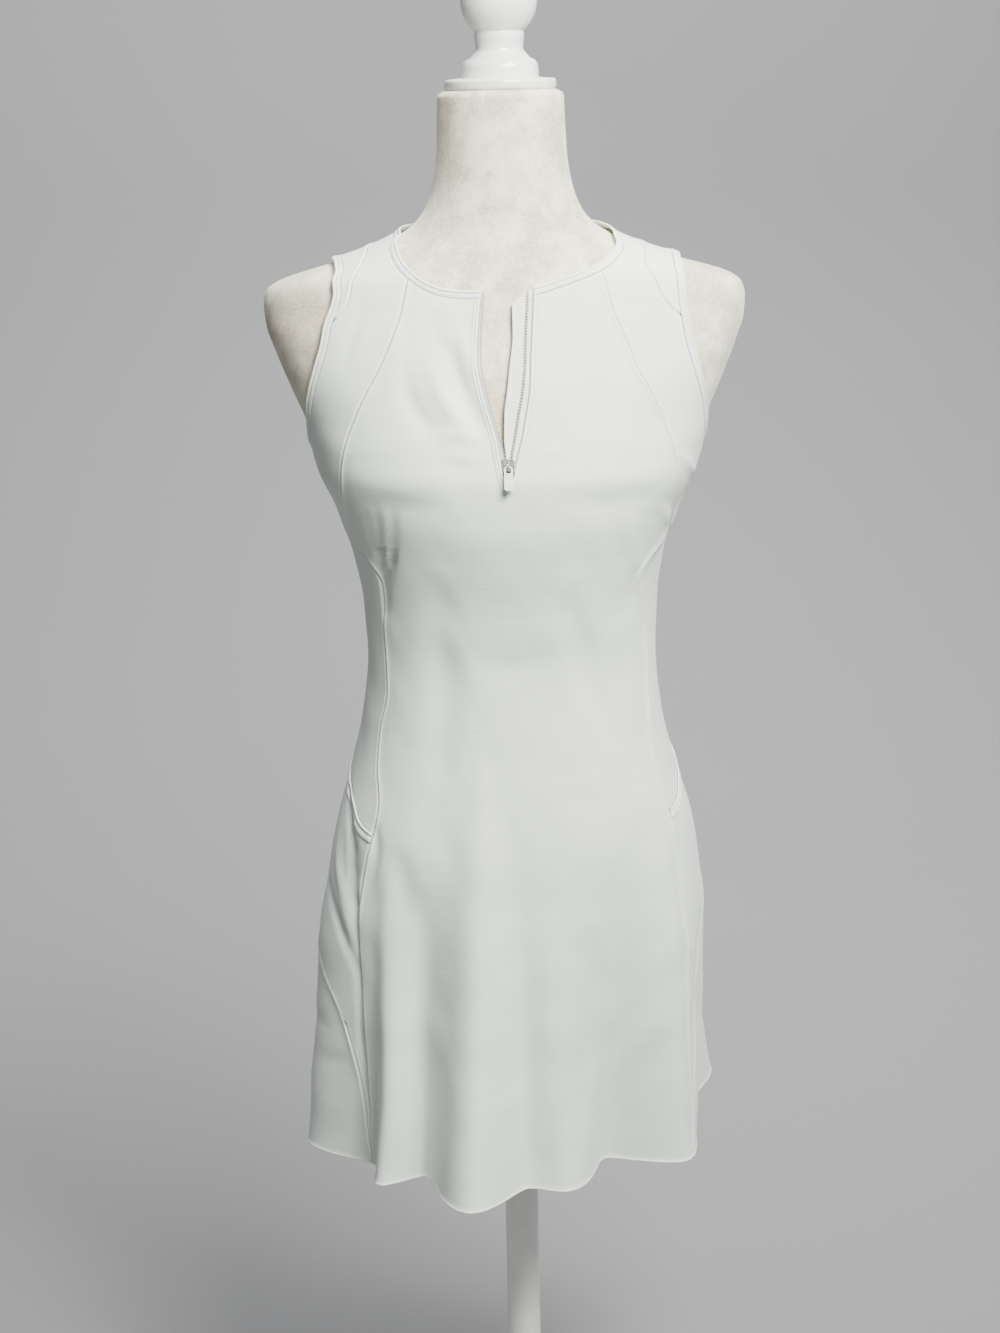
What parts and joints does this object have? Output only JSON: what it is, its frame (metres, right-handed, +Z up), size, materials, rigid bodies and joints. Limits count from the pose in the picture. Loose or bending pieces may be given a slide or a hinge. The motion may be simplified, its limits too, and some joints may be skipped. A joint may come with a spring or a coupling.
{
  "type": "tennis dress on a dress form",
  "caption": "Sleeveless half-zip tennis dress with panelled sides and a flared skirt, worn on a limbless dress form with a turned cap, a pole and a round base.",
  "frame": {"origin": "centre of the base's underside, on the floor", "axes": "+Z up along the form's axis; the front of the dress faces -Y; the viewer's right is +X"},
  "size_m": [0.423, 0.375, 1.5073],
  "materials": {
    "dress_cloth": "cool white stretch knit, matte",
    "binding_cloth": "folded white knit, matte",
    "form_cover": "cream napped cover",
    "form_gloss": "white lacquer",
    "zip_metal": "polished",
    "zip_tab": "satin white"
  },
  "bodies": {
    "dress_and_form": {"front_center": "dress_cloth", "back": "dress_cloth", "front_side_left": "dress_cloth", "front_side_right": "dress_cloth", "side_left": "dress_cloth", "side_right": "dress_cloth", "skirt_side_left": "dress_cloth", "skirt_side_right": "dress_cloth", "neck_binding_left": "binding_cloth", "neck_binding_right": "binding_cloth", "armhole_binding_left": "binding_cloth", "armhole_binding_right": "binding_cloth", "pocket_binding_left": "binding_cloth", "pocket_binding_right": "binding_cloth", "zip_tape_left": "dress_cloth", "zip_tape_right": "dress_cloth", "zip_guard": "dress_cloth", "zip_slider": "zip_metal", "form_torso": "form_cover", "form_cap": "form_gloss", "form_pole": "form_gloss", "form_base": "form_gloss"},
    "pull_tab": {"zip_pull": "zip_tab"}
  },
  "joints": [
    {"name": "pull_tab_hinge", "type": "hinge", "parent": "dress_and_form", "child": "pull_tab", "pos_m": [0, -0.12954, 1.09308], "axis": [-1, 0, 0], "range_deg": [0, 140]}
  ]
}
